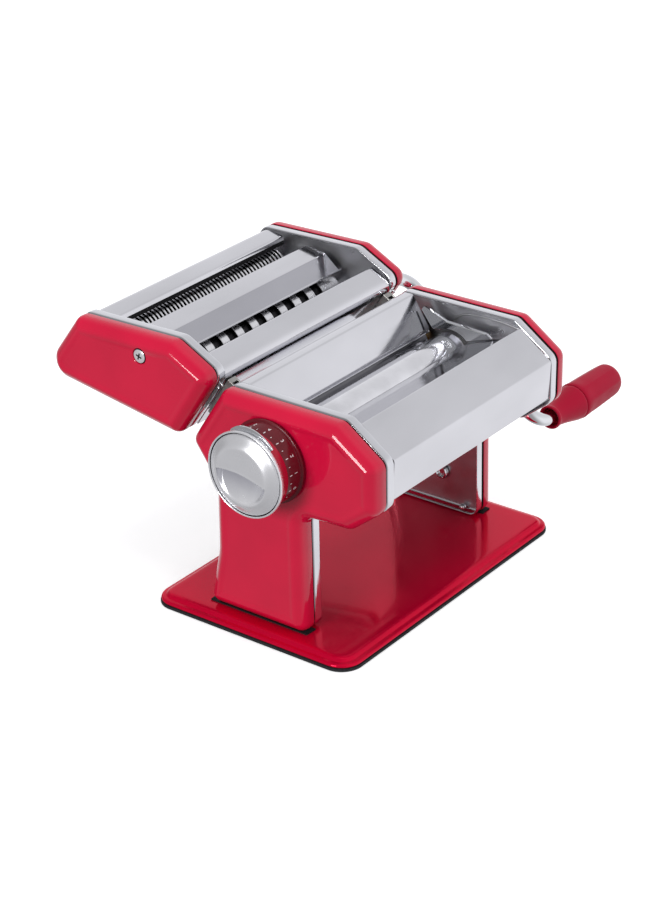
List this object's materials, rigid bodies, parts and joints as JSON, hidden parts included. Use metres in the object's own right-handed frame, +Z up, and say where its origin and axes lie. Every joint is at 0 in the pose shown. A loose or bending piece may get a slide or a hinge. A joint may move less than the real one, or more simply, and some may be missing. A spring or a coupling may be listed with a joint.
{
  "type": "pasta roller machine",
  "caption": "Hand-cranked pasta roller on a weighted stand, with a thickness knob, a lift-off cutter head and a pull-out crank.",
  "frame": {"origin": "centre of the underside of the rubber base mat, on the table", "axes": "+X along the rollers towards the crank side, -Y towards the front where the smooth rollers feed, +Z up"},
  "size_m": [0.3182, 0.2296, 0.158],
  "materials": {
    "base_mat_rubber": "matt black rubber",
    "base_plate_base_enamel": "high-gloss deep red enamel",
    "cover_screw_left_chrome": "mirror chrome plate",
    "cover_screw_right_chrome": "mirror chrome plate",
    "crank_rod_chrome": "mirror chrome plate",
    "cutter_comb_narrow_nylon": "natural nylon",
    "cutter_comb_wide_nylon": "natural nylon",
    "cutter_cover_left_enamel": "glossy red enamel",
    "cutter_cover_right_enamel": "glossy red enamel",
    "cutter_frame_left_polished": "polished stainless sheet",
    "cutter_frame_right_polished": "polished stainless sheet",
    "cutter_front_sheet_polished": "polished stainless sheet",
    "cutter_rear_sheet_polished": "polished stainless sheet",
    "cutter_roof_polished": "polished stainless sheet",
    "cutter_screw_left_chrome": "mirror chrome plate",
    "cutter_screw_right_chrome": "mirror chrome plate",
    "cutter_tie_rod_steel": "turned steel",
    "eccentric_bush_left_bronze": "sintered bronze",
    "eccentric_bush_right_bronze": "sintered bronze",
    "end_guide_left_chrome": "mirror chrome plate",
    "end_guide_right_chrome": "mirror chrome plate",
    "foot_screw_left_front_steel": "turned steel",
    "foot_screw_left_rear_steel": "turned steel",
    "foot_screw_right_front_steel": "turned steel",
    "foot_screw_right_rear_steel": "turned steel",
    "front_sheet_polished": "polished stainless sheet",
    "gear_front_gear": "oiled cut steel",
    "gear_rear_gear": "oiled cut steel",
    "grip_body_grip": "satin red plastic",
    "grip_collar_grip": "satin red plastic",
    "knob_cap_chrome": "mirror chrome plate",
    "knob_dial_dial": "dark red plastic",
    "knob_pointer_chrome": "mirror chrome plate",
    "knob_spindle_steel": "turned steel",
    "knob_spring_steel": "turned steel",
    "narrow_cutter_front_steel": "turned steel",
    "narrow_cutter_rear_steel": "turned steel",
    "narrow_gear_front_gear": "oiled cut steel",
    "narrow_gear_rear_gear": "oiled cut steel",
    "rail_hook_left_chrome": "mirror chrome plate",
    "rail_hook_right_chrome": "mirror chrome plate",
    "rail_left_chrome": "mirror chrome plate",
    "rail_right_chrome": "mirror chrome plate",
    "rear_sheet_polished": "polished stainless sheet",
    "roller_bush_left_bronze": "sintered bronze",
    "roller_bush_right_bronze": "sintered bronze",
    "roller_front_roller": "fine-turned satin",
    "roller_rear_roller": "fine-turned satin",
    "scraper_front_steel": "turned steel",
    "scraper_rear_steel": "turned steel",
    "side_cover_left_enamel": "glossy red enamel",
    "side_cover_right_enamel": "glossy red enamel",
    "side_frame_left_polished": "polished stainless sheet",
    "side_frame_right_polished": "polished stainless sheet",
    "tie_rod_front_steel": "turned steel",
    "tie_rod_rear_steel": "turned steel",
    "wide_cutter_front_steel": "turned steel",
    "wide_cutter_rear_steel": "turned steel",
    "wide_gear_front_gear": "oiled cut steel",
    "wide_gear_rear_gear": "oiled cut steel"
  },
  "bodies": {
    "stand": {"base_mat": "base_mat_rubber", "base_plate": "base_plate_base_enamel", "side_frame_left": "side_frame_left_polished", "side_frame_right": "side_frame_right_polished", "side_cover_left": "side_cover_left_enamel", "side_cover_right": "side_cover_right_enamel", "cover_screw_left": "cover_screw_left_chrome", "cover_screw_right": "cover_screw_right_chrome", "roller_bush_left": "roller_bush_left_bronze", "roller_bush_right": "roller_bush_right_bronze", "end_guide_left": "end_guide_left_chrome", "end_guide_right": "end_guide_right_chrome", "rail_left": "rail_left_chrome", "rail_right": "rail_right_chrome", "front_sheet": "front_sheet_polished", "rear_sheet": "rear_sheet_polished", "scraper_front": "scraper_front_steel", "scraper_rear": "scraper_rear_steel", "tie_rod_front": "tie_rod_front_steel", "tie_rod_rear": "tie_rod_rear_steel", "foot_screw_left_front": "foot_screw_left_front_steel", "foot_screw_left_rear": "foot_screw_left_rear_steel", "foot_screw_right_front": "foot_screw_right_front_steel", "foot_screw_right_rear": "foot_screw_right_rear_steel"},
    "rear_roller": {"roller_rear": "roller_rear_roller", "gear_rear": "gear_rear_gear"},
    "roller_carrier": {"eccentric_bush_left": "eccentric_bush_left_bronze", "eccentric_bush_right": "eccentric_bush_right_bronze"},
    "front_roller": {"roller_front": "roller_front_roller", "gear_front": "gear_front_gear"},
    "knob_spindle": {"knob_spindle": "knob_spindle_steel", "knob_spring": "knob_spring_steel"},
    "knob": {"knob_dial": "knob_dial_dial", "knob_cap": "knob_cap_chrome", "knob_pointer": "knob_pointer_chrome"},
    "cutter_head": {"cutter_frame_left": "cutter_frame_left_polished", "cutter_frame_right": "cutter_frame_right_polished", "cutter_cover_left": "cutter_cover_left_enamel", "cutter_cover_right": "cutter_cover_right_enamel", "cutter_screw_left": "cutter_screw_left_chrome", "cutter_screw_right": "cutter_screw_right_chrome", "rail_hook_left": "rail_hook_left_chrome", "rail_hook_right": "rail_hook_right_chrome", "cutter_rear_sheet": "cutter_rear_sheet_polished", "cutter_roof": "cutter_roof_polished", "cutter_front_sheet": "cutter_front_sheet_polished", "cutter_tie_rod": "cutter_tie_rod_steel", "cutter_comb_wide": "cutter_comb_wide_nylon", "cutter_comb_narrow": "cutter_comb_narrow_nylon"},
    "wide_front": {"wide_cutter_front": "wide_cutter_front_steel", "wide_gear_front": "wide_gear_front_gear"},
    "wide_rear": {"wide_cutter_rear": "wide_cutter_rear_steel", "wide_gear_rear": "wide_gear_rear_gear"},
    "narrow_front": {"narrow_cutter_front": "narrow_cutter_front_steel", "narrow_gear_front": "narrow_gear_front_gear"},
    "narrow_rear": {"narrow_cutter_rear": "narrow_cutter_rear_steel", "narrow_gear_rear": "narrow_gear_rear_gear"},
    "crank": {"crank_rod": "crank_rod_chrome"},
    "grip": {"grip_collar": "grip_collar_grip", "grip_body": "grip_body_grip"}
  },
  "joints": [
    {"name": "rear_roller_spin", "type": "hinge", "parent": "stand", "child": "rear_roller", "pos_m": [0, 0.0134, 0.1086], "axis": [1, 0, 0], "continuous": true},
    {"name": "front_roller_gap", "type": "slide", "parent": "stand", "child": "roller_carrier", "axis": [0, -1, 0], "range_m": [0, 0.0026]},
    {"name": "front_roller_spin", "type": "hinge", "parent": "roller_carrier", "child": "front_roller", "pos_m": [0, -0.0128, 0.1086], "axis": [1, 0, 0], "continuous": true},
    {"name": "knob_turn", "type": "hinge", "parent": "stand", "child": "knob_spindle", "pos_m": [-0.081, -0.0128, 0.1086], "axis": [-1, 0, 0], "range_deg": [0, 300]},
    {"name": "knob_pull", "type": "slide", "parent": "knob_spindle", "child": "knob", "axis": [-1, 0, 0], "range_m": [0, 0.004], "stiffness_N_per_m": 300, "springref_m": -0.002},
    {"name": "cutter_head_lift", "type": "slide", "parent": "stand", "child": "cutter_head", "axis": [0, -0.5525, 0.8335], "range_m": [0, 0.045]},
    {"name": "wide_cutter_spin", "type": "hinge", "parent": "cutter_head", "child": "wide_front", "pos_m": [0, 0.0528, 0.1262], "axis": [1, 0, 0], "continuous": true},
    {"name": "wide_rear_spin", "type": "hinge", "parent": "cutter_head", "child": "wide_rear", "pos_m": [0, 0.07255, 0.12933], "axis": [1, 0, 0], "continuous": true},
    {"name": "narrow_cutter_spin", "type": "hinge", "parent": "cutter_head", "child": "narrow_front", "pos_m": [0, 0.09349, 0.13265], "axis": [1, 0, 0], "continuous": true},
    {"name": "narrow_rear_spin", "type": "hinge", "parent": "cutter_head", "child": "narrow_rear", "pos_m": [0, 0.11325, 0.13577], "axis": [1, 0, 0], "continuous": true},
    {"name": "crank_pull", "type": "slide", "parent": "wide_front", "child": "crank", "axis": [1, 0, 0], "range_m": [0, 0.03]},
    {"name": "grip_spin", "type": "hinge", "parent": "crank", "child": "grip", "pos_m": [0.1575, -0.045, 0.0533], "axis": [1, 0, 0], "continuous": true}
  ],
  "couplings": [
    {"joint": "front_roller_spin", "follows": "rear_roller_spin", "ratio": -1},
    {"joint": "front_roller_gap", "follows": "knob_turn", "m_per_rad": 0.000496},
    {"joint": "wide_rear_spin", "follows": "wide_cutter_spin", "ratio": -1},
    {"joint": "narrow_rear_spin", "follows": "narrow_cutter_spin", "ratio": -1}
  ]
}
